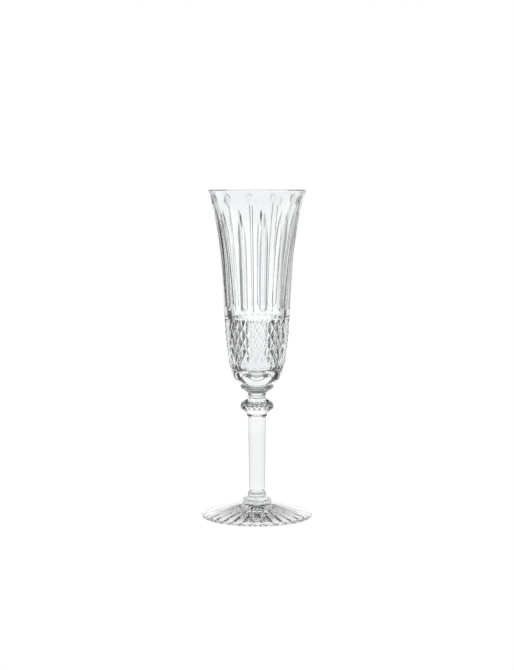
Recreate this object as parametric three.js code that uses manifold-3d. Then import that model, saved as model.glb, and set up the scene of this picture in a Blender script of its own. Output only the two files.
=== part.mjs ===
// Champagne flute in cut crystal: bowl, merese, neck ring, faceted knop, collars, hexagonal stem, foot.
// Millimetres, +Z up. The origin is the centre of the foot's underside; -Y is the front.
import * as THREE from 'three';
import { mergeVertices } from 'three/addons/utils/BufferGeometryUtils.js';
import Module from 'manifold-3d';

const wasm = await Module();
wasm.setup();

// ---- Driving dimensions ----

// Height of each piece in the stack, foot upwards.
const footHeight = 8.8;
const footCollarHeight = 4.4;
const stemRingHeight = 3.5;
const shaftLength = 49.1;
const knopCollarHeight = 3.1;
const knopHeight = 9.5;
const neckRingHeight = 3.2;
const mereseHeight = 6.1;
const bowlHeight = 127.3;

// Foot.
const footRadius = 36.5;
const footEdge = 1.6;
const footRestWidth = 2.2;
const footDome = 5;
const footDomePower = 1.5;
const footSag = 0.2;
const rayCount = 30;
const rayDepth = 1.6;
const raySpread = 2;
const rayStart = 8;
const rayPhase = 1;
const rayReachOut = 2.4;

// Stem.
const footCollarRadius = 9.7;
const footCollarTopRadius = 6.9;
const stemRingRadius = 6.15;
const shaftBottomRadius = 5.2;
const shaftTopRadius = 5.8;
const knopCollarRadius = 6.6;
const knopRadius = 10.95;
const knopSides = 20;
const neckRadius = 6.15;
const mereseRadius = 10.8;
const mereseRim = 2.3;
const mereseSeatRadius = 10;
const stemSeatLand = 0.35;

// Bowl.
const rimRadius = 32.4;
const rimWall = 1.3;
const seatRadius = 9.9;
const floorThickness = 4.3;
const cavityPower = 5.5;
const beltHeight = 43.8;
const beltRadius = 21.45;
const beltWall = 4.5;
const beltGroove = 0.35;
const flareStraight = 0.38;
const flarePower = 3.5;

// Diamond band.
const bandBottom = 10;
const bandGap = 0.8;
const bandRows = 7;
const bandBottomRadius = 17.8;
const baseRadius = 17;
const diamonds = 24;
const diamondDepth = 0.9;
const diamondPhase = 2.5;

// Long pointed cuts and the round lens cuts between them.
const panels = 11;
const lancetPhase = 10.4;
const lancetDepth = 1.4;
const lancetSpread = 1.75;
const lancetStart = 5.3;
const lancetTipBelowRim = 14.2;
const lancetReachOut = 3;
const pearlPhase = -6;
const pearlRadius = 3.2;
const pearlDepth = 0.65;
const pearlBelowRim = 7.1;

const roundSegments = 48;

// ---- Places worked out from the sizes ----

const footCollarZ = footHeight;
const stemRingZ = footCollarZ + footCollarHeight;
const shaftZ = stemRingZ + stemRingHeight;
const knopCollarZ = shaftZ + shaftLength;
const knopZ = knopCollarZ + knopCollarHeight;
const neckRingZ = knopZ + knopHeight;
const mereseZ = neckRingZ + neckRingHeight;
const bowlZ = mereseZ + mereseHeight;

const radians = THREE.MathUtils.degToRad;
const point = (radius, height) => new THREE.Vector2(radius, height);

// ---- Shared helpers ----

// A profile turned about the vertical axis; azimuth 0 is the front (-Y), growing towards +X.
function turned(profile, segments = roundSegments, startAngle = 0) {
  const shape = new THREE.LatheGeometry(profile, segments, radians(startAngle));
  shape.rotateX(Math.PI / 2);
  return shape;
}

// A geometry with its shared vertices merged and nothing but positions left.
function merged(geometry) {
  const bare = geometry.clone();
  bare.deleteAttribute('normal');
  bare.deleteAttribute('uv');
  return mergeVertices(bare, 1e-4);
}

// A closed geometry as a solid that can be cut.
function solid(geometry) {
  const bare = merged(geometry);
  const mesh = new wasm.Mesh({
    numProp: 3,
    vertProperties: new Float32Array(bare.attributes.position.array),
    triVerts: new Uint32Array(bare.index.array),
  });
  return new wasm.Manifold(mesh);
}

// A cut solid back as a geometry.
function surface(cutSolid) {
  const mesh = cutSolid.getMesh();
  const geometry = new THREE.BufferGeometry();
  geometry.setAttribute('position', new THREE.BufferAttribute(mesh.vertProperties, 3));
  geometry.setIndex(new THREE.BufferAttribute(mesh.triVerts, 1));
  geometry.computeVertexNormals();
  return geometry;
}

// The same cutter taken out of a geometry at equal steps round the axis.
function cutRound(geometry, cutter, count, startAngle) {
  let body = solid(geometry);
  for (let i = 0; i < count; i += 1) {
    const turnedCutter = cutter.clone();
    turnedCutter.rotateZ(radians(startAngle + (360 / count) * i));
    body = body.subtract(solid(turnedCutter));
  }
  return surface(body);
}

// A V-shaped wheel's sweep in the front plane. Each stop of its bottom line is a radius and a height.
// The V opens to the right of the way it goes: away from the axis going up, and down going outwards.
function mitreCutter(stops, spread, reach) {
  const line = stops.map(([radius, height]) => new THREE.Vector3(radius, 0, height));
  const path = new THREE.CatmullRomCurve3(line);
  const section = new THREE.Shape([
    new THREE.Vector2(0, 0),
    new THREE.Vector2(reach * spread, reach),
    new THREE.Vector2(-reach * spread, reach),
  ]);
  const sweep = new THREE.ExtrudeGeometry(section, { steps: stops.length, extrudePath: path });
  sweep.rotateZ(-Math.PI / 2);
  return sweep;
}

function piece(name, geometry, height) {
  const material = new THREE.MeshStandardMaterial({ color: 0xf1f5f6, roughness: 0.04, metalness: 0 });
  const mesh = new THREE.Mesh(geometry, material);
  mesh.name = name;
  mesh.position.z = height;
  return mesh;
}

// ---- Foot and stem ----

// The foot's underside: a flat rest ring at the edge and a hollow inside it.
function undersideHeight(radius) {
  const share = radius / (footRadius - footRestWidth);
  return footDome * Math.max(0, 1 - share ** footDomePower);
}

function footGeometry() {
  const restRadius = footRadius - footRestWidth;
  const middle = (footRadius + footCollarRadius) / 2;
  const profile = [
    point(0, undersideHeight(0)),
    point(restRadius * 0.35, undersideHeight(restRadius * 0.35)),
    point(restRadius * 0.7, undersideHeight(restRadius * 0.7)),
    point(restRadius, 0),
    point(footRadius - 0.3, 0),
    point(footRadius, 0.3),
    point(footRadius, footEdge - 0.4),
    point(footRadius - 0.5, footEdge),
    point(middle, (footHeight + footEdge) / 2 - footSag),
    point(footCollarRadius, footHeight),
    point(0, footHeight),
  ];
  const rayEnd = restRadius;
  const rayReach = rayEnd - rayStart;
  const stops = [0, 0.45, 0.88, 0.95, 1].map((share) => {
    const radius = rayStart + rayReach * share;
    const ends = share > 0.9 ? (1 - share) * 10 : share / 0.9;
    return [radius, undersideHeight(radius) + rayDepth * ends - 0.05];
  });
  const cutter = mitreCutter(stops, raySpread, rayReachOut);
  return cutRound(turned(profile, 60), cutter, rayCount, rayPhase);
}

function footCollarGeometry() {
  const step = footCollarHeight / 6;
  return turned([
    point(0, 0),
    point(footCollarRadius - 0.5, 0),
    point(footCollarRadius, step),
    point(footCollarRadius - 0.2, 2.2 * step),
    point(footCollarRadius - 0.9, 2.8 * step),
    point(footCollarRadius - 0.6, 3.6 * step),
    point(footCollarTopRadius + 0.8, 5.2 * step),
    point(footCollarTopRadius - 0.6, footCollarHeight),
    point(0, footCollarHeight),
  ]);
}

function stemRingGeometry() {
  const top = shaftBottomRadius + stemSeatLand;
  return turned([
    point(0, 0),
    point(stemRingRadius - 0.1, 0),
    point(stemRingRadius, stemRingHeight * 0.2),
    point((stemRingRadius + top) / 2, stemRingHeight * 0.6),
    point(top, stemRingHeight * 0.9),
    point(top - 0.2, stemRingHeight),
    point(0, stemRingHeight),
  ]);
}

// Six flat sides, a corner at each side (+X and -X) and a flat to the front.
function shaftGeometry() {
  const shaft = new THREE.CylinderGeometry(shaftTopRadius, shaftBottomRadius, shaftLength, 6);
  shaft.rotateX(Math.PI / 2);
  shaft.rotateZ(radians(30));
  shaft.translate(0, 0, shaftLength / 2);
  return shaft;
}

function knopCollarGeometry() {
  const edge = knopCollarHeight / 4;
  return turned([
    point(0, 0),
    point(knopCollarRadius - 0.7, 0),
    point(knopCollarRadius - 0.1, edge),
    point(knopCollarRadius, 2 * edge),
    point(knopCollarRadius - 0.1, 3 * edge),
    point(knopCollarRadius - 0.6, knopCollarHeight),
    point(0, knopCollarHeight),
  ]);
}

// Rows of triangular facets: each ring of corners is turned half a side from the one under it.
function knopGeometry() {
  const rings = [
    [knopCollarRadius + 0.2, 0],
    [knopRadius - 2.3, knopHeight * 0.1],
    [knopRadius - 0.25, knopHeight * 0.27],
    [knopRadius, knopHeight * 0.46],
    [knopRadius - 0.4, knopHeight * 0.65],
    [knopRadius - 2.4, knopHeight * 0.85],
    [neckRadius, knopHeight],
  ];
  const outline = rings.map(([radius, height]) => point(radius, height));
  const profile = [point(0, 0), ...outline, point(0, knopHeight)];
  const knop = turned(profile, knopSides);
  const places = knop.attributes.position;
  const corner = new THREE.Vector3();
  const axis = new THREE.Vector3(0, 0, 1);
  for (let i = 0; i < places.count; i += 1) {
    const row = i % profile.length;
    corner.fromBufferAttribute(places, i);
    corner.applyAxisAngle(axis, (Math.PI / knopSides) * row);
    places.setXYZ(i, corner.x, corner.y, corner.z);
  }
  return merged(knop);
}

function neckRingGeometry() {
  const edge = neckRingHeight / 4;
  return turned([
    point(0, 0),
    point(neckRadius - 0.5, 0),
    point(neckRadius - 0.15, edge),
    point(neckRadius - 0.45, 2 * edge),
    point(neckRadius, 3 * edge),
    point(neckRadius - 0.2, neckRingHeight),
    point(0, neckRingHeight),
  ]);
}

// A glass button: a short upright rim over a cone, drawn in at the top to the bowl's seat.
function mereseGeometry() {
  const neck = neckRadius - 0.3;
  const coneHeight = mereseHeight - mereseRim;
  return turned([
    point(0, 0),
    point(neck, 0),
    point(neck + 0.3, coneHeight * 0.08),
    point(mereseRadius - 1.9, coneHeight * 0.63),
    point(mereseRadius - 0.4, coneHeight * 0.9),
    point(mereseRadius, coneHeight),
    point(mereseRadius, mereseHeight - 0.45),
    point(mereseSeatRadius, mereseHeight),
    point(0, mereseHeight),
  ]);
}

// ---- Bowl ----

// The blank's outer radius from the belt to the rim, before the cuts.
function flareRadius(height) {
  const share = (height - beltHeight) / (bowlHeight - beltHeight);
  const flare = flareStraight * share + (1 - flareStraight) * share ** flarePower;
  return beltRadius + (rimRadius - beltRadius) * flare;
}

function wallAt(height) {
  const share = (height - beltHeight) / (bowlHeight - beltHeight);
  return beltWall + (rimWall - beltWall) * share;
}

// The blank's outer radius in the diamond band.
function bandRadius(share) {
  return bandBottomRadius + (beltRadius - 0.1 - bandBottomRadius) * (1 - (1 - share) ** 1.5);
}

const bandTop = beltHeight - bandGap;
const bandFirstRow = 5;

// Outer wall from the seat up, over the rim and down the inside.
function bowlProfile() {
  const base = new THREE.QuadraticBezierCurve(
    point(seatRadius, 0),
    point(baseRadius - 0.9, bandBottom * 0.26),
    point(baseRadius, bandBottom * 0.9),
  );
  const profile = [point(0, 0), ...base.getPoints(3)];
  for (let row = 0; row <= bandRows; row += 1) {
    const share = row / bandRows;
    profile.push(point(bandRadius(share), bandBottom + (bandTop - bandBottom) * share));
  }
  profile.push(point(beltRadius - beltGroove, beltHeight));
  profile.push(point(flareRadius(beltHeight + bandGap), beltHeight + bandGap));
  const outerShares = [0.06, 0.3, 0.5, 0.68, 0.82, 0.93];
  for (const share of outerShares) {
    const height = beltHeight + (bowlHeight - beltHeight) * share;
    profile.push(point(flareRadius(height), height));
  }
  profile.push(point(rimRadius, bowlHeight - 0.5));
  profile.push(point(rimRadius - 0.35, bowlHeight));
  profile.push(point(rimRadius - rimWall + 0.35, bowlHeight));
  for (const share of [0.97, 0.88, 0.72, 0.5, 0.25]) {
    const height = beltHeight + (bowlHeight - beltHeight) * share;
    profile.push(point(flareRadius(height) - wallAt(height), height));
  }
  const cavityRadius = beltRadius - beltWall;
  const cavityDepth = beltHeight - floorThickness;
  for (const angle of [0, 20, 38, 54, 68, 80]) {
    const sink = Math.sin(radians(angle));
    const across = cavityRadius * Math.sqrt(1 - sink ** cavityPower);
    profile.push(point(across, beltHeight - cavityDepth * sink));
  }
  profile.push(point(0, floorThickness));
  return profile;
}

// Crossed V grooves leave a pointed diamond on every second corner of the band. The corners between
// sink to the groove bottom, and each square's fold runs along the groove, from sunk corner to sunk corner.
function cutDiamonds(bowl, rowLength) {
  const places = bowl.attributes.position;
  const columns = diamonds * 2;
  for (let i = 0; i < places.count; i += 1) {
    const column = Math.floor(i / rowLength) % columns;
    const row = (i % rowLength) - bandFirstRow;
    const inBand = row >= 0 && row <= bandRows;
    const sunk = (column + row) % 2 === 0 || row === 0;
    if (inBand && sunk) {
      const radius = Math.hypot(places.getX(i), places.getY(i));
      const keep = (row === 0 ? baseRadius : radius - diamondDepth) / radius;
      places.setXYZ(i, places.getX(i) * keep, places.getY(i) * keep, places.getZ(i));
    }
  }
  const corners = bowl.index.array;
  for (let column = 0; column < columns; column += 1) {
    for (let row = 0; row < bandRows; row += 1) {
      if ((column + row) % 2 === 0) {
        const a = bandFirstRow + row + column * rowLength;
        const b = a + rowLength;
        const at = 6 * (column * (rowLength - 1) + bandFirstRow + row);
        corners.set([a, b, b + 1, a, b + 1, a + 1], at);
      }
    }
  }
}

function lancetCutter() {
  const low = beltHeight + lancetStart;
  const tip = bowlHeight - lancetTipBelowRim;
  const bottom = (height, depth) => [flareRadius(height) - depth, height];
  const length = tip - low;
  return mitreCutter([
    bottom(low, -0.5),
    bottom(low + 1.8, lancetDepth * 0.8),
    bottom(low + 6, lancetDepth),
    bottom(low + length * 0.45, lancetDepth),
    bottom(low + length * 0.8, lancetDepth * 0.85),
    bottom(low + length * 0.93, lancetDepth * 0.45),
    bottom(tip + 1, -0.15),
  ], lancetSpread, lancetReachOut);
}

// A shallow round hollow: the sphere's radius follows from the hollow's width and depth.
function pearlCutter() {
  const height = bowlHeight - pearlBelowRim;
  const slope = flareRadius(height + 0.5) - flareRadius(height - 0.5);
  const ball = (pearlRadius ** 2 + pearlDepth ** 2) / (2 * pearlDepth);
  const lean = Math.atan(slope);
  const away = ball - pearlDepth;
  const cutter = new THREE.SphereGeometry(ball, 32, 24);
  cutter.rotateX(Math.PI / 2 + lean);
  const radius = flareRadius(height) + away * Math.cos(lean);
  cutter.translate(0, -radius, height - away * Math.sin(lean));
  return cutter;
}

function bowlGeometry() {
  const profile = bowlProfile();
  const bowl = turned(profile, diamonds * 2, diamondPhase);
  cutDiamonds(bowl, profile.length);
  const withLancets = cutRound(bowl, lancetCutter(), panels, lancetPhase);
  return cutRound(withLancets, pearlCutter(), panels, pearlPhase);
}

// ---- Assembly ----

const flute = new THREE.Group();
flute.name = 'champagne_flute';
flute.add(
  piece('foot', footGeometry(), 0),
  piece('foot_collar', footCollarGeometry(), footCollarZ),
  piece('stem_foot_ring', stemRingGeometry(), stemRingZ),
  piece('stem_shaft', shaftGeometry(), shaftZ),
  piece('knop_collar', knopCollarGeometry(), knopCollarZ),
  piece('knop', knopGeometry(), knopZ),
  piece('neck_ring', neckRingGeometry(), neckRingZ),
  piece('bowl_merese', mereseGeometry(), mereseZ),
  piece('bowl', bowlGeometry(), bowlZ),
);

export default flute;
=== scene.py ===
"""Champagne flute in cut crystal: the finished looks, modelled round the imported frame."""
import logging
import math
from collections.abc import Callable, Sequence
from dataclasses import dataclass, field
from enum import Enum

import bpy
from mathutils import Matrix, Vector


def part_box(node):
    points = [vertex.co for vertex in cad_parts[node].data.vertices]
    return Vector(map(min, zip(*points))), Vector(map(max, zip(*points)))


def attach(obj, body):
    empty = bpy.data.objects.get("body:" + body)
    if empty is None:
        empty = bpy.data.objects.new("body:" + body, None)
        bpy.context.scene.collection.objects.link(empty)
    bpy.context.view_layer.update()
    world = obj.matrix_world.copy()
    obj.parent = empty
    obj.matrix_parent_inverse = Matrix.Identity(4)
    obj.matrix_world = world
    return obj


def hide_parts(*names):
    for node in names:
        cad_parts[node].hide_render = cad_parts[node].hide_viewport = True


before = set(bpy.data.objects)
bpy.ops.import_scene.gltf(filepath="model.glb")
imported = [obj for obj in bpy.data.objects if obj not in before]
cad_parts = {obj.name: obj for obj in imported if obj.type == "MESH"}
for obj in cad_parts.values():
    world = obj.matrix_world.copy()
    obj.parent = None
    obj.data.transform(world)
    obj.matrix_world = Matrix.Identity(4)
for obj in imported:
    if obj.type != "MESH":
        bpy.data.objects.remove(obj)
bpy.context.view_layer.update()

MM = 0.001
SHARP_ANGLE = math.radians(14)
FACET_ANGLE = math.radians(2)
NEAR = 1e-6
CLEAR_OF_PIECE = 10 * MM
log = logging.getLogger("flute")


class Cut(Enum):
    """How a mitre wheel meets the glass."""

    UPRIGHT = "upright"
    UNDERNEATH = "underneath"


class Pick(Enum):
    """What is selected in edit mode, by the mesh's own name for its list."""

    CORNERS = "vertices"
    EDGES = "edges"
    FACES = "polygons"


PickedItem = bpy.types.MeshVertex | bpy.types.MeshEdge | bpy.types.MeshPolygon


@dataclass(frozen=True)
class Ring:
    """One ring of a turned shape: its radius and height in metres."""

    radius: float
    height: float


@dataclass(frozen=True)
class Joint:
    """A flat face where two gathers are fused, alike on both. Lengths in metres, turn in radians."""

    radius: float
    height: float
    sides: int = 144
    turn: float = 0.0


@dataclass(frozen=True)
class Wheel:
    """A cutting wheel's section, as a circle of a few or many corners stretched sideways."""

    corners: int
    size: float
    stretch: float = 1.0

    @classmethod
    def pointed(cls, spread: float, reach: float) -> "Wheel":
        """Make a V edge.

        Args:
            spread: half the V's width for each metre of its depth.
            reach: the V's depth in metres.

        Returns:
            The wheel.
        """
        size = reach / 1.5
        return cls(3, size, reach * spread / (size * math.sin(math.pi / 3)))

    def depth(self, half_width: float) -> float:
        """Return how deep a round wheel cuts where the cut is so wide."""
        return self.size - math.sqrt(self.size ** 2 - half_width ** 2)


def eased(stops: Sequence[Ring], steps: int) -> list[Ring]:
    """Run a smooth line through a few rings.

    Args:
        stops: the rings that the line passes through.
        steps: how many steps it takes from each ring to the next.

    Returns:
        All the rings along the line.
    """
    ends = [stops[0], *stops, stops[-1]]
    line = []
    for before, start, end, after in zip(ends, ends[1:], ends[2:], ends[3:]):
        for i in range(steps):
            t = i / steps
            weights = ((-t + 2 * t * t - t ** 3) / 2, (2 - 5 * t * t + 3 * t ** 3) / 2,
                       (t + 4 * t * t - 3 * t ** 3) / 2, (-t * t + t ** 3) / 2)
            four = (before, start, end, after)
            line.append(Ring(sum(w * r.radius for w, r in zip(weights, four)),
                             sum(w * r.height for w, r in zip(weights, four))))
    line.append(stops[-1])
    return line


def bent(start: Ring, bend: Ring, end: Ring, steps: int) -> list[Ring]:
    """Run a line from one ring to another, drawn towards a third.

    Args:
        start: the first ring, which is left out of the result.
        bend: the ring that the line is drawn towards.
        end: the last ring.
        steps: how many steps it takes.

    Returns:
        The rings after the first.
    """
    line = []
    for i in range(1, steps + 1):
        t = i / steps
        weights = ((1 - t) ** 2, 2 * t * (1 - t), t * t)
        line.append(Ring(sum(w * r.radius for w, r in zip(weights, (start, bend, end))),
                         sum(w * r.height for w, r in zip(weights, (start, bend, end)))))
    return line


class Bench:
    """The modeller's hand tools. Each method but pick, which ends in edit mode, leaves Blender in object
    mode.
    """

    @staticmethod
    def clear() -> None:
        """Leave edit mode and deselect everything."""
        if bpy.context.mode != "OBJECT":
            bpy.ops.object.mode_set(mode="OBJECT")
        bpy.ops.object.select_all(action="DESELECT")

    @staticmethod
    def take(piece: bpy.types.Object) -> None:
        """Select one object alone and make it active."""
        Bench.clear()
        piece.select_set(True)
        bpy.context.view_layer.objects.active = piece

    @staticmethod
    def pick(piece: bpy.types.Object, kind: Pick, test: Callable[[PickedItem], bool]) -> None:
        """Enter edit mode with only some corners, edges or faces selected.

        Args:
            piece: the object to edit.
            kind: what is selected.
            test: says whether a corner, edge or face is selected.
        """
        Bench.take(piece)
        bpy.context.tool_settings.mesh_select_mode = tuple(kind is one for one in Pick)
        bpy.ops.object.mode_set(mode="EDIT")
        bpy.ops.mesh.select_all(action="DESELECT")
        bpy.ops.object.mode_set(mode="OBJECT")
        for item in getattr(piece.data, kind.value):
            item.select = test(item)
        bpy.ops.object.mode_set(mode="EDIT")

    @staticmethod
    def turned(name: str, profile: Sequence[Ring], sides: int, turn: float = 0.0,
               twist: float = 0.0) -> bpy.types.Object:
        """Raise a solid ring by ring from a filled circle.

        Args:
            name: the object's name.
            profile: the rings, from the closed bottom to the closed end.
            sides: corners in each ring.
            turn: how far the first ring is turned about the axis, in radians.
            twist: how far each ring is turned from the one before, in radians.

        Returns:
            The closed solid, with its place in its mesh.
        """
        Bench.clear()
        first = profile[0]
        bpy.ops.mesh.primitive_circle_add(vertices=sides, radius=first.radius, fill_type="NGON",
                                          location=(0, 0, first.height), rotation=(0, 0, turn))
        piece = bpy.context.active_object
        piece.name = name
        bpy.ops.object.transform_apply(location=True, rotation=True, scale=True)
        bpy.context.tool_settings.mesh_select_mode = (False, False, True)
        bpy.ops.object.mode_set(mode="EDIT")
        bpy.ops.mesh.select_all(action="SELECT")
        for below, above in zip(profile, profile[1:]):
            centre = (0, 0, above.height)
            grow = above.radius / below.radius
            rise = (0, 0, above.height - below.height)
            bpy.ops.mesh.extrude_region_move(TRANSFORM_OT_translate={"value": rise})
            bpy.ops.transform.resize(value=(grow, grow, 1), center_override=centre)
            if twist:
                bpy.ops.transform.rotate(value=-twist, orient_axis="Z", center_override=centre)
        bpy.ops.mesh.select_all(action="SELECT")
        bpy.ops.mesh.normals_make_consistent(inside=False)
        bpy.ops.object.mode_set(mode="OBJECT")
        return piece

    @staticmethod
    def facet(piece: bpy.types.Object) -> None:
        """Fold every skewed four-sided face along its shorter diagonal."""
        Bench.pick(piece, Pick.FACES, lambda face: len(face.vertices) == 4)
        bpy.ops.mesh.quads_convert_to_tris(quad_method="SHORTEST_DIAGONAL")
        bpy.ops.object.mode_set(mode="OBJECT")

    @staticmethod
    def sweep(name: str, stops: Sequence[Ring], wheel: Wheel, cut: Cut) -> bpy.types.Object:
        """Sweep a cutting wheel's section along a line in the front plane.

        Args:
            name: the object's name.
            stops: the line of the cut's bottom, as distances from the axis and heights.
            wheel: the wheel's section.
            cut: whether the cut opens away from the axis or down.

        Returns:
            The closed cutter.
        """
        Bench.clear()
        first = stops[0]
        tilt = math.pi / 2 if cut is Cut.UNDERNEATH else 0
        bpy.ops.mesh.primitive_circle_add(vertices=wheel.corners, radius=wheel.size, fill_type="NGON",
                                          rotation=(tilt, 0, 0))
        cutter = bpy.context.active_object
        cutter.name = name
        cutter.scale.x = wheel.stretch
        drop = Vector((0, 0, wheel.size)) if cut is Cut.UNDERNEATH else Vector((0, wheel.size, 0))
        cutter.location = Vector((0, -first.radius, first.height)) - drop
        bpy.ops.object.transform_apply(location=True, rotation=True, scale=True)
        bpy.context.tool_settings.mesh_select_mode = (False, False, True)
        bpy.ops.object.mode_set(mode="EDIT")
        bpy.ops.mesh.select_all(action="SELECT")
        for last, stop in zip(stops, stops[1:]):
            move = (0, last.radius - stop.radius, stop.height - last.height)
            bpy.ops.mesh.extrude_region_move(TRANSFORM_OT_translate={"value": move})
        bpy.ops.mesh.select_all(action="SELECT")
        bpy.ops.mesh.normals_make_consistent(inside=False)
        bpy.ops.object.mode_set(mode="OBJECT")
        return cutter

    @staticmethod
    def repeat_round(cutter: bpy.types.Object, count: int, start: float) -> bpy.types.Object:
        """Copy a cutter at equal steps round the axis and join the copies.

        Args:
            cutter: the cutter in the front plane, which is used up.
            count: how many there are in a turn.
            start: the first one's azimuth in degrees, from the front towards +X.

        Returns:
            One object holding all the copies.
        """
        copies = []
        for i in range(count):
            Bench.take(cutter)
            bpy.ops.object.duplicate(linked=False)
            copy = bpy.context.active_object
            copy.rotation_euler.z = math.radians(start + 360 / count * i)
            bpy.ops.object.transform_apply(location=True, rotation=True, scale=True)
            copies.append(copy)
        Bench.take(cutter)
        bpy.ops.object.delete()
        for copy in copies:
            copy.select_set(True)
        bpy.context.view_layer.objects.active = copies[0]
        bpy.ops.object.join()
        return copies[0]

    @staticmethod
    def carve(piece: bpy.types.Object, cutter: bpy.types.Object) -> None:
        """Take a cutter's shape out of a piece and throw the cutter away.

        Args:
            piece: the solid that is cut.
            cutter: the closed shape to take out of it.
        """
        Bench.take(piece)
        bpy.ops.object.modifier_add(type="BOOLEAN")
        wheel = piece.modifiers[-1]
        wheel.operation = "DIFFERENCE"
        wheel.solver = "MANIFOLD"
        wheel.object = cutter
        bpy.ops.object.modifier_apply(modifier=wheel.name)
        Bench.take(cutter)
        bpy.ops.object.delete()

    @staticmethod
    def join(body: bpy.types.Object, other: bpy.types.Object, lower: float, upper: float) -> None:
        """Join two turned solids end to end.

        Args:
            body: the solid that stays, with a flat end at the lower height.
            other: the solid that becomes part of it, with a flat end at the upper height.
            lower: the height of the first one's end.
            upper: the height of the second one's end.
        """
        Bench.take(other)
        body.select_set(True)
        bpy.context.view_layer.objects.active = body
        bpy.ops.object.join()
        Bench.pick(body, Pick.FACES, lambda face: (len(face.vertices) > 4
                                                   and min(abs(face.center.z - lower),
                                                           abs(face.center.z - upper)) < NEAR))
        bpy.ops.mesh.delete(type="ONLY_FACE")
        Bench.bridge_gap()

    @staticmethod
    def bridge_gap() -> None:
        """Bridge a mesh's two open loops in edit mode, and point all its faces outwards."""
        bpy.context.tool_settings.mesh_select_mode = (False, True, False)
        bpy.ops.mesh.select_all(action="DESELECT")
        bpy.ops.mesh.select_non_manifold(extend=False)
        bpy.ops.mesh.bridge_edge_loops()
        bpy.ops.mesh.select_all(action="SELECT")
        bpy.ops.mesh.normals_make_consistent(inside=False)
        bpy.ops.object.mode_set(mode="OBJECT")

    @staticmethod
    def smooth(piece: bpy.types.Object, sharp: float) -> None:
        """Shade the turned walls smooth and leave every edge over the sharp angle crisp."""
        Bench.take(piece)
        bpy.ops.object.shade_smooth_by_angle(angle=sharp)

    @staticmethod
    def fuse(piece: bpy.types.Object, joint: Joint) -> None:
        """Set the fused face into one of a piece's flat ends.

        Args:
            piece: a solid with a flat end at the joint's height.
            joint: the fused face, which is smaller than the end.
        """
        Bench.pick(piece, Pick.FACES, lambda face: abs(face.center.z - joint.height) < NEAR)
        bpy.ops.mesh.delete(type="FACE")
        heights = [corner.co.z for corner in piece.data.vertices]
        away = -CLEAR_OF_PIECE if joint.height < sum(heights) / len(heights) else CLEAR_OF_PIECE
        bpy.ops.mesh.primitive_circle_add(vertices=joint.sides, radius=joint.radius, fill_type="NGON",
                                          location=(0, 0, joint.height + away), rotation=(0, 0, joint.turn))
        Bench.bridge_gap()
        Bench.pick(piece, Pick.FACES, lambda face: abs(face.center.z - joint.height - away) < NEAR)
        bpy.ops.transform.translate(value=(0, 0, -away))
        bpy.ops.mesh.select_all(action="SELECT")
        bpy.ops.mesh.normals_make_consistent(inside=False)
        bpy.ops.object.mode_set(mode="OBJECT")

    @staticmethod
    def paint(piece: bpy.types.Object, finish: bpy.types.Material,
              test: Callable[[PickedItem], bool]) -> None:
        """Give some of a piece's faces a finish of their own.

        Args:
            piece: the piece.
            finish: the finish, which gets a new slot.
            test: says whether a face has it.
        """
        piece.data.materials.append(finish)
        Bench.pick(piece, Pick.FACES, test)
        piece.active_material_index = len(piece.data.materials) - 1
        bpy.ops.object.material_slot_assign()
        bpy.ops.object.mode_set(mode="OBJECT")


Socket = bpy.types.NodeSocket | float


class Wiring:
    """Adds nodes to one node tree and links them as it goes."""

    def __init__(self, tree: bpy.types.NodeTree) -> None:
        """Keep the tree."""
        self.tree = tree

    def plug(self, socket: bpy.types.NodeSocket, value: Socket) -> None:
        """Link an input to another node, or set it to a number."""
        if isinstance(value, bpy.types.NodeSocket):
            self.tree.links.new(value, socket)
        else:
            socket.default_value = value

    def math(self, operation: str, *values: Socket) -> bpy.types.NodeSocket:
        """Add a Math node.

        Args:
            operation: what it works out.
            values: its inputs in order.

        Returns:
            Its output.
        """
        node = self.tree.nodes.new("ShaderNodeMath")
        node.operation = operation
        for socket, value in zip(node.inputs, values):
            self.plug(socket, value)
        return node.outputs[0]

    def ramp(self, value: Socket, low: float, high: float, start: float = 0.0,
             end: float = 1.0) -> bpy.types.NodeSocket:
        """Add a soft step.

        Args:
            value: what is measured.
            low: where the step begins.
            high: where it ends.
            start: the result below the step.
            end: the result above it.

        Returns:
            The step's output.
        """
        node = self.tree.nodes.new("ShaderNodeMapRange")
        node.interpolation_type = "SMOOTHSTEP"
        for socket, number in zip(node.inputs, (value, low, high, start, end)):
            self.plug(socket, number)
        return node.outputs[0]

    def blend(self, share: Socket, first: Socket, second: Socket) -> bpy.types.NodeSocket:
        """Add a Mix node that goes from the first value to the second.

        Args:
            share: 0 for the first, 1 for the second.
            first: one value.
            second: the other.

        Returns:
            Its output.
        """
        node = self.tree.nodes.new("ShaderNodeMix")
        for index, value in ((0, share), (2, first), (3, second)):
            self.plug(node.inputs[index], value)
        return node.outputs[0]

    def noise(self, place: bpy.types.NodeSocket, scale: float, detail: float) -> bpy.types.NodeSocket:
        """Add a Noise Texture.

        Args:
            place: the coordinates.
            scale: how fine it is.
            detail: how many finer layers it has.

        Returns:
            Its value.
        """
        node = self.tree.nodes.new("ShaderNodeTexNoise")
        node.inputs["Scale"].default_value = scale
        node.inputs["Detail"].default_value = detail
        self.plug(node.inputs["Vector"], place)
        return node.outputs["Fac"]


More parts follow.
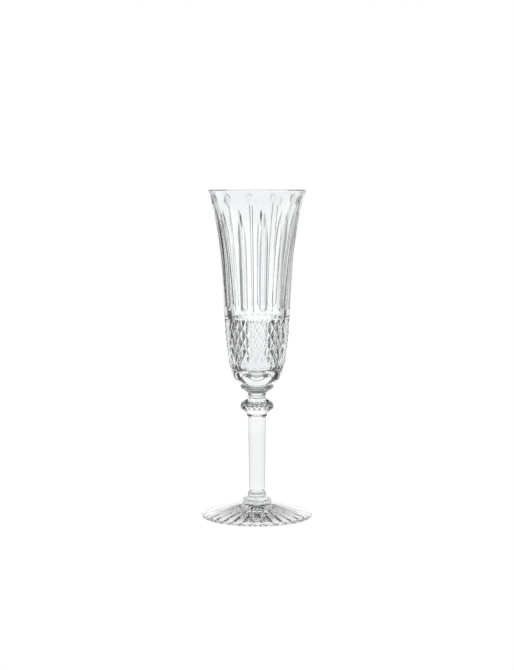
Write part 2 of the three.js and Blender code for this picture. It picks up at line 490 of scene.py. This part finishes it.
@dataclass(frozen=True)
class Crystal:
    """Clear lead crystal with the faint ripple and wear of its own finish."""

    name: str
    tint: tuple[float, float, float] = (0.985, 0.992, 0.995)
    shade: tuple[float, float, float] = (0.955, 0.968, 0.975)
    ior: float = 1.545
    polish: float = 0.0
    wear: float = 0.02
    ripple_size: float = 120.0
    ripple_depth: float = 0.02

    def material(self) -> bpy.types.Material:
        """Build the finish's nodes.

        Returns:
            The material.
        """
        made = bpy.data.materials.new(self.name)
        made.use_nodes = True
        nodes = made.node_tree.nodes
        wiring = Wiring(made.node_tree)
        glass = nodes["Principled BSDF"]
        glass.inputs["IOR"].default_value = self.ior
        glass.inputs["Transmission Weight"].default_value = 1.0
        centre = nodes.new("ShaderNodeMapping")
        wiring.plug(centre.inputs["Vector"], nodes.new("ShaderNodeTexCoord").outputs["Object"])
        place = centre.outputs["Vector"]
        colour = nodes.new("ShaderNodeMix")
        colour.data_type = "RGBA"
        colour.inputs[6].default_value = (*self.tint, 1)
        colour.inputs[7].default_value = (*self.shade, 1)
        wiring.plug(colour.inputs[0], wiring.noise(place, self.ripple_size * 0.4, 2.0))
        wiring.plug(glass.inputs["Base Color"], colour.outputs[2])
        scuffs = wiring.noise(place, self.ripple_size * 6, 4.0)
        worn = wiring.ramp(scuffs, 0.55, 0.8, self.polish, self.polish + self.wear)
        wiring.plug(glass.inputs["Roughness"], worn)
        bump = nodes.new("ShaderNodeBump")
        bump.inputs["Strength"].default_value = self.ripple_depth
        bump.inputs["Distance"].default_value = MM
        wiring.plug(bump.inputs["Height"], wiring.noise(place, self.ripple_size, 1.0))
        wiring.plug(glass.inputs["Normal"], bump.outputs["Normal"])
        return made


def fused_face() -> bpy.types.Material:
    """Build the finish of a face where two gathers are fused, which can't be seen.

    Returns:
        The material.
    """
    made = bpy.data.materials.new("fused_face")
    made.use_nodes = True
    made.node_tree.nodes["Principled BSDF"].inputs["Alpha"].default_value = 0.0
    return made


class Joints:
    """The fused faces of the whole stack, from the foot up."""

    def __init__(self) -> None:
        """Take each face's height from the frame."""
        def top(node: str) -> float:
            """Return the height of a node's upper end."""
            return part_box(node)[1].z

        flat = math.radians(30)
        self.foot = Joint(9.1 * MM, top("foot"))
        self.collar = Joint(5.95 * MM, top("foot_collar"))
        self.ring = Joint(4.9 * MM, top("stem_foot_ring"), 6, flat)
        self.shaft = Joint(5.5 * MM, top("stem_shaft"), 6, flat)
        self.knop_collar = Joint(5.85 * MM, top("knop_collar"))
        self.knop = Joint(5.55 * MM, top("knop"))
        self.neck = Joint(5.75 * MM, top("neck_ring"))
        self.merese = Joint(9.6 * MM, top("bowl_merese"))


@dataclass
class Maker:
    """What every gather is finished with: the fused faces and their clear finish."""

    joints: Joints
    clear: bpy.types.Material
    made: dict[Crystal, bpy.types.Material] = field(default_factory=dict)

    def material(self, finish: Crystal) -> bpy.types.Material:
        """Return a finish's material, which is built once."""
        if finish not in self.made:
            self.made[finish] = finish.material()
        return self.made[finish]

    def finish(self, piece: bpy.types.Object, node: str, crystal: Crystal, joints: Sequence[Joint],
               sharp: float = SHARP_ANGLE) -> None:
        """Fuse, smooth and dress a piece, and put it in its CAD node's stead.

        Args:
            piece: the modelled solid.
            node: the CAD node that it stands for.
            crystal: its finish.
            joints: its fused faces.
            sharp: the least angle of a crisp edge, in radians.
        """
        for joint in joints:
            Bench.fuse(piece, joint)
        Bench.smooth(piece, sharp)
        piece.data.materials.clear()
        piece.data.materials.append(self.material(crystal))
        Bench.paint(piece, self.clear, lambda face: any(abs(face.center.z - joint.height) < NEAR
                                                        and face.center.xy.length < joint.radius * 0.5
                                                        for joint in joints))
        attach(piece, "root")
        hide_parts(node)
        log.info("%s: %d faces", piece.name, len(piece.data.polygons))


@dataclass
class Bowl:
    """The blown cup with its cuts: lens hollows, long lancets, fine lines and the diamond band."""

    maker: Maker
    sides: int = 240
    rim_wall: float = 1.3 * MM
    belt_wall: float = 4.5 * MM
    seat_radius: float = 9.9 * MM
    floor: float = 4.3 * MM
    cavity_power: float = 5.5
    belt_height: float = 43.8 * MM
    belt_radius: float = 21.45 * MM
    belt_groove: float = 0.35 * MM
    flare_straight: float = 0.38
    flare_power: float = 3.5
    band_bottom: float = 10 * MM
    band_gap: float = 0.8 * MM
    band_rows: int = 7
    band_bottom_radius: float = 17.8 * MM
    band_inset: float = 0.1 * MM
    band_swell: float = 1.5
    base_radius: float = 17 * MM
    base_height: float = 9.5 * MM
    base_bend: float = 0.9 * MM
    base_bend_height: float = 2.6 * MM
    diamonds: int = 24
    diamond_depth: float = 0.9 * MM
    diamond_phase: float = 2.5
    panels: int = 11
    lancet_phase: float = 10.4
    lancet_half_width: float = 3.2 * MM
    lancet_wheel: Wheel = Wheel(72, 3.5 * MM)
    lancet_low: float = 5.3 * MM
    lancet_below_rim: float = 14.2 * MM
    lancet_round_end: float = 2.4 * MM
    lancet_taper: float = 9 * MM
    lancet_waist: float = 0.22
    tip_wheel: Wheel = Wheel.pointed(1.1, 2 * MM)
    tip_length: float = 14 * MM
    tip_depth: float = 0.8 * MM
    tip_beyond: float = 1.5 * MM
    run_out: float = 0.3 * MM
    pearl_phase: float = -6
    pearl_radius: float = 3.2 * MM
    pearl_depth: float = 0.65 * MM
    pearl_below_rim: float = 7.1 * MM
    line_depth: float = 0.22 * MM
    line_wheel: Wheel = Wheel.pointed(1.0, 0.8 * MM)

    def __post_init__(self) -> None:
        """Take the seat, the rim and the rim's radius from the frame."""
        low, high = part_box("bowl")
        self.seat = low[2]
        self.rim = high[2]
        self.rim_radius = high[0]

    def share(self, height: float) -> float:
        """Return how far a height lies from the belt to the rim, from 0 to 1."""
        belt = self.seat + self.belt_height
        return (height - belt) / (self.rim - belt)

    def outer(self, height: float) -> float:
        """Return the blank's outer radius above the belt."""
        share = self.share(height)
        flare = self.flare_straight * share + (1 - self.flare_straight) * share ** self.flare_power
        return self.belt_radius + (self.rim_radius - self.belt_radius) * flare

    def inner(self, height: float) -> float:
        """Return the cavity's radius above the belt."""
        return self.outer(height) - self.belt_wall - (self.rim_wall - self.belt_wall) * self.share(height)

    def band_height(self, row: int) -> float:
        """Return the height of a row of the diamond band."""
        top = self.belt_height - self.band_gap
        return self.seat + self.band_bottom + (top - self.band_bottom) * row / self.band_rows

    def lower_profile(self) -> list[Ring]:
        """Return the rings from the fused seat to the top of the diamond band."""
        seat = Ring(self.seat_radius, self.seat)
        bend = Ring(self.base_radius - self.base_bend, self.seat + self.base_bend_height)
        shoulder = Ring(self.base_radius, self.seat + self.base_height)
        rings = [seat, *bent(seat, bend, shoulder, 12)[:-1]]
        widest = self.belt_radius - self.band_inset
        for row in range(self.band_rows + 1):
            swell = 1 - (1 - row / self.band_rows) ** self.band_swell
            radius = self.band_bottom_radius + (widest - self.band_bottom_radius) * swell
            rings.append(Ring(radius, self.band_height(row)))
        return rings

    def upper_profile(self) -> list[Ring]:
        """Return the rings from the belt's groove up over the lip and down to the cavity's floor."""
        belt = self.seat + self.belt_height
        rings = [Ring(self.belt_radius - self.belt_groove, belt)]
        start, lip = belt + self.band_gap, self.rim - self.rim_wall / 2
        steps = 56
        rings += [Ring(self.outer(height), height)
                  for height in (start + (lip - start) * i / steps for i in range(steps + 1))]
        middle = (self.outer(lip) + self.inner(lip)) / 2
        half = (self.outer(lip) - self.inner(lip)) / 2
        steps = 16
        for i in range(1, steps):
            angle = math.pi * i / steps
            rings.append(Ring(middle + half * math.cos(angle), lip + self.rim_wall / 2 * math.sin(angle)))
        steps = 48
        rings += [Ring(self.inner(height), height)
                  for height in (lip + (belt - lip) * i / steps for i in range(steps + 1))]
        depth = self.belt_height - self.floor
        steps = 45
        for i in range(1, steps):
            sink = math.sin(math.pi / 2 * i / steps)
            rings.append(Ring(self.inner(belt) * math.sqrt(1 - sink ** self.cavity_power),
                              belt - depth * sink))
        return rings

    def sink_crossings(self, piece: bpy.types.Object) -> None:
        """Push the corners where two mitre cuts cross in to the bottom of the cuts.

        Args:
            piece: the lower part of the bowl.
        """
        step = 180 / self.diamonds
        for row in range(self.band_rows + 1):
            height = self.band_height(row)

            def crossing(corner: bpy.types.MeshVertex) -> bool:
                """Say whether two cuts cross at a corner."""
                place = corner.co
                azimuth = math.degrees(math.atan2(place.x, -place.y))
                column = round((azimuth - self.diamond_phase) / step)
                return abs(place.z - height) < NEAR and (row == 0 or (column + row) % 2 == 0)

            radius = max(v.co.xy.length for v in piece.data.vertices if abs(v.co.z - height) < NEAR)
            Bench.pick(piece, Pick.CORNERS, crossing)
            kept = self.base_radius if row == 0 else radius - self.diamond_depth
            bpy.ops.transform.resize(value=(kept / radius, kept / radius, 1), center_override=(0, 0, height))
            bpy.ops.object.mode_set(mode="OBJECT")

    def lancet_stops(self) -> list[Ring]:
        """Return the bottom line of a long pointed cut, from its round end up to its tip."""
        low = self.seat + self.belt_height + self.lancet_low
        tip = self.rim - self.lancet_below_rim
        stops = [Ring(self.outer(low) + self.run_out, low)]
        steps = 40
        for i in range(steps + 1):
            height = low + (tip - low) * (i / steps) ** 1.5
            entry = min(1, (height - low) / self.lancet_round_end)
            point = 1 - math.exp(-(tip - height) / self.lancet_taper)
            waist = 1 - self.lancet_waist * (tip - height) / (tip - low)
            half_width = self.lancet_half_width * waist * point * math.sqrt(1 - (1 - entry) ** 2)
            stops.append(Ring(self.outer(height) - self.lancet_wheel.depth(half_width), height))
        stops.append(Ring(self.outer(tip + MM) + self.run_out, tip + MM))
        return stops

    def tip_stops(self) -> list[Ring]:
        """Return the bottom line of the narrow V that draws out a lancet's tip."""
        tip = self.rim - self.lancet_below_rim
        end = tip + self.tip_beyond
        stops = [Ring(self.outer(end) + self.run_out, end), Ring(self.outer(tip), tip)]
        steps = 12
        for i in range(1, steps + 1):
            share = i / steps
            height = tip - self.tip_length * share
            depth = self.tip_depth * math.sin(math.pi / 2 * min(1.0, share * 2.5))
            stops.append(Ring(self.outer(height) - depth, height))
        return stops[::-1]

    def cut_lancets(self, piece: bpy.types.Object) -> None:
        """Cut the long pointed hollows."""
        cutter = Bench.sweep("lancet_wheel", self.lancet_stops(), self.lancet_wheel, Cut.UPRIGHT)
        Bench.carve(piece, Bench.repeat_round(cutter, self.panels, self.lancet_phase))
        cutter = Bench.sweep("tip_wheel", self.tip_stops(), self.tip_wheel, Cut.UPRIGHT)
        Bench.carve(piece, Bench.repeat_round(cutter, self.panels, self.lancet_phase))

    def cut_lines(self, piece: bpy.types.Object) -> None:
        """Cut the fine upright line under each lens hollow."""
        low = self.seat + self.belt_height + self.lancet_low
        high = self.rim - self.pearl_below_rim - self.pearl_radius * 0.9
        stops = [Ring(self.outer(low) + 0.2 * MM, low - self.run_out)]
        steps = 40
        for i in range(steps + 1):
            height = low + (high - low) * i / steps
            stops.append(Ring(self.outer(height) - self.line_depth, height))
        cutter = Bench.sweep("line_wheel", stops, self.line_wheel, Cut.UPRIGHT)
        Bench.carve(piece, Bench.repeat_round(cutter, self.panels, self.pearl_phase))

    def pearl_ball(self) -> tuple[Vector, float, float]:
        """Return the front lens hollow's ball: its centre, its radius and how far it leans back."""
        height = self.rim - self.pearl_below_rim
        lean = math.atan((self.outer(height + MM) - self.outer(height - MM)) / (2 * MM))
        ball = (self.pearl_radius ** 2 + self.pearl_depth ** 2) / (2 * self.pearl_depth)
        away = ball - self.pearl_depth
        centre = Vector((0, -self.outer(height) - away * math.cos(lean), height - away * math.sin(lean)))
        return centre, ball, lean

    def cut_pearls(self, piece: bpy.types.Object) -> None:
        """Grind the round lens hollows under the rim."""
        centre, ball, lean = self.pearl_ball()
        Bench.clear()
        bpy.ops.mesh.primitive_uv_sphere_add(segments=96, ring_count=64, radius=ball, location=centre,
                                             rotation=(math.pi / 2 + lean, 0, 0))
        cutter = bpy.context.active_object
        bpy.ops.object.transform_apply(location=True, rotation=True, scale=True)
        Bench.carve(piece, Bench.repeat_round(cutter, self.panels, self.pearl_phase))

    def in_pearl(self, face: bpy.types.MeshPolygon) -> bool:
        """Say whether a face lies in one of the lens hollows."""
        centre, ball, _ = self.pearl_ball()
        step = 360 / self.panels
        azimuth = math.degrees(math.atan2(face.center.x, -face.center.y))
        nearest = self.pearl_phase + step * round((azimuth - self.pearl_phase) / step)
        to_front = Matrix.Rotation(-math.radians(nearest), 3, "Z")
        spoke = to_front @ face.center - centre
        return (abs(spoke.length - ball) < 0.02 * MM
                and spoke.normalized().dot(to_front @ face.normal) < -0.99)

    def build(self, finish: Crystal, satin: Crystal) -> None:
        """Model, cut, dress and deliver the bowl.

        Args:
            finish: the bowl's crystal.
            satin: the finer ground finish of the lens hollows.
        """
        piece = Bench.turned("crystal_bowl", self.lower_profile(), self.diamonds * 2,
                             math.radians(self.diamond_phase))
        self.sink_crossings(piece)
        Bench.facet(piece)
        upper = Bench.turned("bowl_upper", self.upper_profile(), self.sides)
        top = self.band_height(self.band_rows)
        belt = self.seat + self.belt_height
        Bench.join(piece, upper, top, belt)
        self.cut_lancets(piece)
        self.cut_pearls(piece)
        self.cut_lines(piece)
        self.maker.finish(piece, "bowl", finish, [self.maker.joints.merese])
        Bench.paint(piece, self.maker.material(satin), self.in_pearl)


@dataclass
class Stem:
    """The stack of gathers between bowl and foot, each a turned or cut solid of its own."""

    maker: Maker
    sides: int = 144
    collar_radius: float = 9.7 * MM
    collar_top: float = 6.9 * MM
    ring_radius: float = 6.15 * MM
    shaft_bottom: float = 5.2 * MM
    shaft_top: float = 5.8 * MM
    shaft_edge: float = 0.45 * MM
    knop_collar_radius: float = 6.6 * MM
    knop_radius: float = 10.95 * MM
    knop_sides: int = 20
    neck_radius: float = 6.15 * MM
    merese_radius: float = 10.8 * MM
    merese_seat: float = 10.0 * MM

    def rings(self, node: str, outline: Sequence[tuple[float, float]]) -> list[Ring]:
        """Set an outline into a node's height.

        Args:
            node: the CAD node.
            outline: radii in metres, each with its share of the node's height.

        Returns:
            The rings, from the node's lower end to its upper end.
        """
        low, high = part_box(node)
        return [Ring(radius, low.z + (high.z - low.z) * share) for radius, share in outline]

    def merese(self, finish: Crystal) -> None:
        """Turn the cup-shaped button under the bowl."""
        neck, wide = self.neck_radius - 0.3 * MM, self.merese_radius
        cone = eased(self.rings("bowl_merese", [(neck, 0), (neck + 0.3 * MM, 0.05), (wide - 1.9 * MM, 0.39),
                                                (wide - 0.4 * MM, 0.56), (wide, 0.63)]), 6)
        rim = eased(self.rings("bowl_merese", [(wide, 0.65), (wide, 0.88), (wide - 0.2 * MM, 0.95),
                                               (self.merese_seat, 1)]), 4)
        piece = Bench.turned("stem_merese", cone + rim, self.sides)
        joints = self.maker.joints
        self.maker.finish(piece, "bowl_merese", finish, [joints.neck, joints.merese])

    def neck(self, finish: Crystal) -> None:
        """Turn the neck's double ring."""
        wide = self.neck_radius
        stops = self.rings("neck_ring", [(wide - 0.5 * MM, 0), (wide - 0.1 * MM, 0.22),
                                         (wide - 0.5 * MM, 0.5), (wide, 0.76), (wide - 0.25 * MM, 1)])
        piece = Bench.turned("stem_neck_ring", eased(stops, 8), self.sides)
        joints = self.maker.joints
        self.maker.finish(piece, "neck_ring", finish, [joints.knop, joints.neck])

    def knop(self, finish: Crystal) -> None:
        """Cut the faceted ball: every ring of corners is turned half a side from the one under it."""
        wide = self.knop_radius
        stops = self.rings("knop", [(self.knop_collar_radius + 0.2 * MM, 0), (wide - 2.3 * MM, 0.1),
                                    (wide - 0.25 * MM, 0.27), (wide, 0.46), (wide - 0.4 * MM, 0.65),
                                    (wide - 2.4 * MM, 0.85), (self.neck_radius, 1)])
        half = math.pi / self.knop_sides
        piece = Bench.turned("stem_knop", stops, self.knop_sides, half, half)
        Bench.facet(piece)
        joints = self.maker.joints
        self.maker.finish(piece, "knop", finish, [joints.knop_collar, joints.knop], FACET_ANGLE)

    def knop_collar(self, finish: Crystal) -> None:
        """Turn the rounded ring under the knop."""
        wide = self.knop_collar_radius
        stops = self.rings("knop_collar", [(wide - 0.7 * MM, 0), (wide - 0.12 * MM, 0.25), (wide, 0.5),
                                           (wide - 0.1 * MM, 0.75), (wide - 0.6 * MM, 1)])
        piece = Bench.turned("stem_knop_collar", eased(stops, 8), self.sides)
        joints = self.maker.joints
        self.maker.finish(piece, "knop_collar", finish, [joints.shaft, joints.knop_collar])

    def shaft(self, finish: Crystal) -> None:
        """Cut the six-sided shaft and polish its edges round."""
        stops = self.rings("stem_shaft", [(self.shaft_bottom, 0), (self.shaft_top, 1)])
        joints = self.maker.joints
        piece = Bench.turned("stem_shaft_cut", stops, joints.shaft.sides, joints.shaft.turn)
        places = piece.data.vertices
        Bench.pick(piece, Pick.EDGES, lambda edge: (abs(places[edge.vertices[0]].co.z
                                                        - places[edge.vertices[1]].co.z) > self.shaft_edge))
        bpy.ops.mesh.bevel(offset=self.shaft_edge, segments=5)
        bpy.ops.object.mode_set(mode="OBJECT")
        self.maker.finish(piece, "stem_shaft", finish, [joints.ring, joints.shaft])

    def foot_ring(self, finish: Crystal) -> None:
        """Turn the ring that carries the shaft."""
        wide, top = self.ring_radius, self.shaft_bottom + 0.35 * MM
        stops = self.rings("stem_foot_ring", [(wide - 0.1 * MM, 0), (wide, 0.2), ((wide + top) / 2, 0.6),
                                              (top, 0.88), (top - 0.2 * MM, 1)])
        piece = Bench.turned("stem_ring", eased(stops, 8), self.sides)
        joints = self.maker.joints
        self.maker.finish(piece, "stem_foot_ring", finish, [joints.collar, joints.ring])

    def foot_collar(self, finish: Crystal) -> None:
        """Turn the stepped collar on the foot."""
        wide, top = self.collar_radius, self.collar_top
        stops = self.rings("foot_collar", [(wide - 0.5 * MM, 0), (wide, 0.17), (wide - 0.2 * MM, 0.37),
                                           (wide - 0.9 * MM, 0.47), (wide - 0.6 * MM, 0.6),
                                           (top + 0.8 * MM, 0.87), (top - 0.6 * MM, 1)])
        piece = Bench.turned("stem_foot_collar", eased(stops, 8), self.sides)
        joints = self.maker.joints
        self.maker.finish(piece, "foot_collar", finish, [joints.foot, joints.collar])

    def build(self, finish: Crystal, facets: Crystal) -> None:
        """Model, dress and deliver every piece of the stem.

        Args:
            finish: the crystal of the turned pieces.
            facets: the crystal of the faceted knop.
        """
        self.merese(finish)
        self.neck(finish)
        self.knop(facets)
        self.knop_collar(finish)
        self.shaft(finish)
        self.foot_ring(finish)
        self.foot_collar(finish)


@dataclass
class Foot:
    """The foot: a low cone with a hollow underside and rays cut up into it."""

    maker: Maker
    sides: int = 240
    edge: float = 1.6 * MM
    rest_width: float = 2.2 * MM
    dome: float = 5.0 * MM
    dome_power: float = 1.5
    sag: float = 0.2 * MM
    round_edge: float = 0.3 * MM
    lip: float = 0.5 * MM
    collar_radius: float = 9.7 * MM
    rays: int = 30
    ray_phase: float = 1.0
    ray_start: float = 8 * MM
    ray_depth: float = 1.6 * MM
    ray_full: float = 0.9
    ray_round_end: float = 2.6 * MM
    ray_wheel: Wheel = Wheel.pointed(2.0, 2.4 * MM)

    def __post_init__(self) -> None:
        """Take the foot's width and height from the frame."""
        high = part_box("foot")[1]
        self.radius, self.top = high.x, high.z

    def underside(self, radius: float) -> float:
        """Return the height of the hollow underside."""
        share = radius / (self.radius - self.rest_width)
        return self.dome * max(0.0, 1 - share ** self.dome_power)

    def profile(self) -> list[Ring]:
        """Return the rings from the middle of the underside round the edge to the collar's seat."""
        rest, steps = self.radius - self.rest_width, 30
        rings = [Ring(radius, self.underside(radius))
                 for radius in (rest * max(0.02, i / steps) for i in range(steps + 1))]
        steps = 8
        turns = [math.pi / 2 * i / steps for i in range(steps + 1)]
        rings += [Ring(self.radius - self.round_edge * (1 - math.sin(turn)),
                       self.round_edge * (1 - math.cos(turn))) for turn in turns]
        rings += [Ring(self.radius - self.lip * (1 - math.cos(turn)),
                       self.edge - self.lip * (1 - math.sin(turn))) for turn in turns]
        start, end = rings[-1], Ring(self.collar_radius, self.top)
        bend = Ring((start.radius + end.radius) / 2, (start.height + end.height) / 2 - 2 * self.sag)
        return rings + bent(start, bend, end, 40)

    def ray_stops(self) -> list[Ring]:
        """Return the bottom line of a ray: a taper from the middle, and a round end near the edge."""
        end = self.radius - self.rest_width
        stops, steps = [], 48
        for i in range(steps + 1):
            share = 1 - (1 - i / steps) ** 1.6
            radius = self.ray_start + (end - self.ray_start) * share
            left = min(1.0, (end - radius) / self.ray_round_end)
            rise = min(share / self.ray_full * math.sqrt(1 - (1 - left) ** 2), 1.05)
            stops.append(Ring(radius, self.underside(radius) + self.ray_depth * rise - 0.02 * MM))
        return stops

    def build(self, finish: Crystal) -> None:
        """Model, cut, dress and deliver the foot.

        Args:
            finish: the foot's crystal.
        """
        piece = Bench.turned("crystal_foot", self.profile(), self.sides)
        cutter = Bench.sweep("ray_wheel", self.ray_stops(), self.ray_wheel, Cut.UNDERNEATH)
        Bench.carve(piece, Bench.repeat_round(cutter, self.rays, self.ray_phase))
        self.maker.finish(piece, "foot", finish, [self.maker.joints.foot])


@dataclass(frozen=True)
class Panel:
    """A tall soft light round the glass. Degrees, counted from the front towards +X."""

    name: str
    azimuth: float
    half_width: float
    strength: float


@dataclass
class Studio:
    """The plain pale floor, the soft light and the camera."""

    distance: float = 1060 * MM
    eye_height: float = 222 * MM
    pitch: float = 5.5
    lens: float = 87.2
    panels: tuple[Panel, ...] = (
        Panel("back", 180, 20, 1.1), Panel("back left strip", -155, 4, 0.8),
        Panel("back right strip", 155, 5, 0.95), Panel("far left strip", -112, 5, 0.5),
        Panel("left fill", -90, 9, 0.8), Panel("left", -72, 9, 1.1), Panel("front", -2, 36, 0.95),
        Panel("front right fill", 46, 12, 0.9), Panel("right", 75, 16, 1.0),
        Panel("far right", 120, 9, 0.8))
    gap_strength: float = 0.06
    panel_top: float = 20.0
    ceiling_strength: float = 0.1
    overhead_from: float = 63.0
    overhead_strength: float = 0.6
    floor_radius: float = 500 * MM
    sweep_half_width: float = 52.0
    sweep_start: float = 100 * MM
    flag_strength: float = 0.12
    floor_strength: float = 1.0
    # Painted shadow under the foot: the floor's glow in its middle, which rises to the full glow 30 mm out.
    foot_shadow: float = 0.5
    below_floor: float = -20.0

    def camera(self) -> None:
        """Stand the camera in front of the glass, a little above its rim."""
        data = bpy.data.cameras.new("camera")
        data.lens = self.lens
        data.sensor_width = 36.0
        data.clip_start, data.clip_end = 0.01, 20.0
        camera = bpy.data.objects.new("camera", data)
        camera.location = (0.0, -self.distance, self.eye_height)
        camera.rotation_euler = (math.radians(90 - self.pitch), 0, 0)
        bpy.context.scene.collection.objects.link(camera)
        bpy.context.scene.camera = camera

    def floor(self) -> None:
        """Lay the white floor, which gives its own light: a sweep running back from the foot, with dark
        cloth at its sides, and a painted shadow under the foot where its glow is dimmed.
        """
        Bench.clear()
        bpy.ops.mesh.primitive_circle_add(vertices=96, radius=self.floor_radius, fill_type="NGON",
                                          location=(0, 0, -0.05 * MM))
        floor = bpy.context.active_object
        floor.name = "floor"
        bpy.ops.object.transform_apply(location=True, rotation=True, scale=True)
        paper = bpy.data.materials.new("white_floor")
        paper.use_nodes = True
        wiring = Wiring(paper.node_tree)
        nodes = paper.node_tree.nodes
        apart = nodes.new("ShaderNodeSeparateXYZ")
        wiring.plug(apart.inputs[0], nodes.new("ShaderNodeTexCoord").outputs["Object"])
        off_back = self.turn_from(wiring, apart, 180)
        square = wiring.math("ADD", wiring.math("MULTIPLY", apart.outputs["X"], apart.outputs["X"]),
                             wiring.math("MULTIPLY", apart.outputs["Y"], apart.outputs["Y"]))
        radius = wiring.math("SQRT", square)
        # Painted shadow under the foot: the glow is dimmed in the middle of the floor. Only the glass sees
        # it, since the camera gets plain white.
        middle = wiring.ramp(radius, 5 * MM, 30 * MM, self.foot_shadow, self.floor_strength)
        beside = wiring.ramp(off_back, self.sweep_half_width - 6, self.sweep_half_width + 6)
        beyond = wiring.ramp(radius, self.sweep_start - 20 * MM, self.sweep_start + 20 * MM)
        glow = wiring.blend(wiring.math("MULTIPLY", beside, beyond), middle, self.flag_strength)
        sheet = nodes["Principled BSDF"]
        sheet.inputs["Base Color"].default_value = (0, 0, 0, 1)
        sheet.inputs["Specular IOR Level"].default_value = 0.0
        sheet.inputs["Emission Color"].default_value = (1, 1, 1, 1)
        wiring.plug(sheet.inputs["Emission Strength"], self.white_to_camera(wiring, glow))
        floor.data.materials.append(paper)

    @staticmethod
    def turn_from(wiring: Wiring, apart: bpy.types.Node, azimuth: float) -> bpy.types.NodeSocket:
        """Measure how far a direction is turned from an azimuth.

        Args:
            wiring: the node tree's wiring.
            apart: the node that gives the direction's X and Y.
            azimuth: the azimuth in degrees.

        Returns:
            The turn in degrees, from 0 to 180.
        """
        front = wiring.math("MULTIPLY", apart.outputs["Y"], -1.0)
        around = wiring.math("DEGREES", wiring.math("ARCTAN2", apart.outputs["X"], front))
        off = wiring.math("WRAP", wiring.math("SUBTRACT", around, azimuth), 180.0, -180.0)
        return wiring.math("ABSOLUTE", off)

    @staticmethod
    def white_to_camera(wiring: Wiring, strength: bpy.types.NodeSocket) -> bpy.types.NodeSocket:
        """Return a light's strength, with plain white where the camera looks straight at it."""
        path = wiring.tree.nodes.new("ShaderNodeLightPath")
        return wiring.blend(path.outputs["Is Camera Ray"], strength, 1.0)

    def light(self) -> None:
        """Stand the panels round the glass, under a dark ceiling with a soft lamp in its middle.

        The backdrop that the camera sees is plain white, and far down the white floor goes on.
        """
        world = bpy.data.worlds.new("studio")
        bpy.context.scene.world = world
        world.use_nodes = True
        wiring = Wiring(world.node_tree)
        nodes = world.node_tree.nodes
        apart = nodes.new("ShaderNodeSeparateXYZ")
        wiring.plug(apart.inputs[0], nodes.new("ShaderNodeTexCoord").outputs["Generated"])
        strength = self.gap_strength
        for panel in self.panels:
            off = self.turn_from(wiring, apart, panel.azimuth)
            outside = wiring.ramp(off, panel.half_width - 2, panel.half_width + 2)
            strength = wiring.blend(outside, panel.strength, strength)
            log.info("panel %s at %g degrees", panel.name, panel.azimuth)
        height = wiring.math("DEGREES", wiring.math("ARCSINE", apart.outputs["Z"]))
        above = wiring.ramp(height, self.panel_top - 3, self.panel_top + 3)
        strength = wiring.blend(above, strength, self.ceiling_strength)
        overhead = wiring.ramp(height, self.overhead_from - 3, self.overhead_from + 3)
        strength = wiring.blend(overhead, strength, self.overhead_strength)
        level = wiring.ramp(height, self.below_floor - 3, self.below_floor + 3)
        strength = wiring.blend(level, self.floor_strength, strength)
        backdrop = nodes["Background"]
        backdrop.inputs["Color"].default_value = (1, 1, 1, 1)
        wiring.plug(backdrop.inputs["Strength"], self.white_to_camera(wiring, strength))

    def darkroom(self) -> None:
        """Let light pass through many layers of glass, and keep whites white."""
        scene = bpy.context.scene
        scene.view_settings.view_transform = "Standard"
        scene.cycles.max_bounces = 32
        scene.cycles.transmission_bounces = 32
        scene.cycles.transparent_max_bounces = 32
        scene.cycles.glossy_bounces = 16
        scene.cycles.blur_glossy = 0.0

    def build(self) -> None:
        """Set the whole stage."""
        self.floor()
        self.light()
        self.camera()
        self.darkroom()


def main() -> None:
    """Build the flute piece by piece, then the stage."""
    logging.basicConfig(level=logging.INFO, format="%(message)s")
    maker = Maker(Joints(), fused_face())
    Bowl(maker).build(Crystal("cut_crystal"), Crystal("pearl_satin", polish=0.45, wear=0.1))
    Stem(maker).build(Crystal("stem_crystal"), Crystal("facet_crystal"))
    Foot(maker).build(Crystal("foot_crystal"))
    Studio().build()


if __name__ == "__main__":
    main()
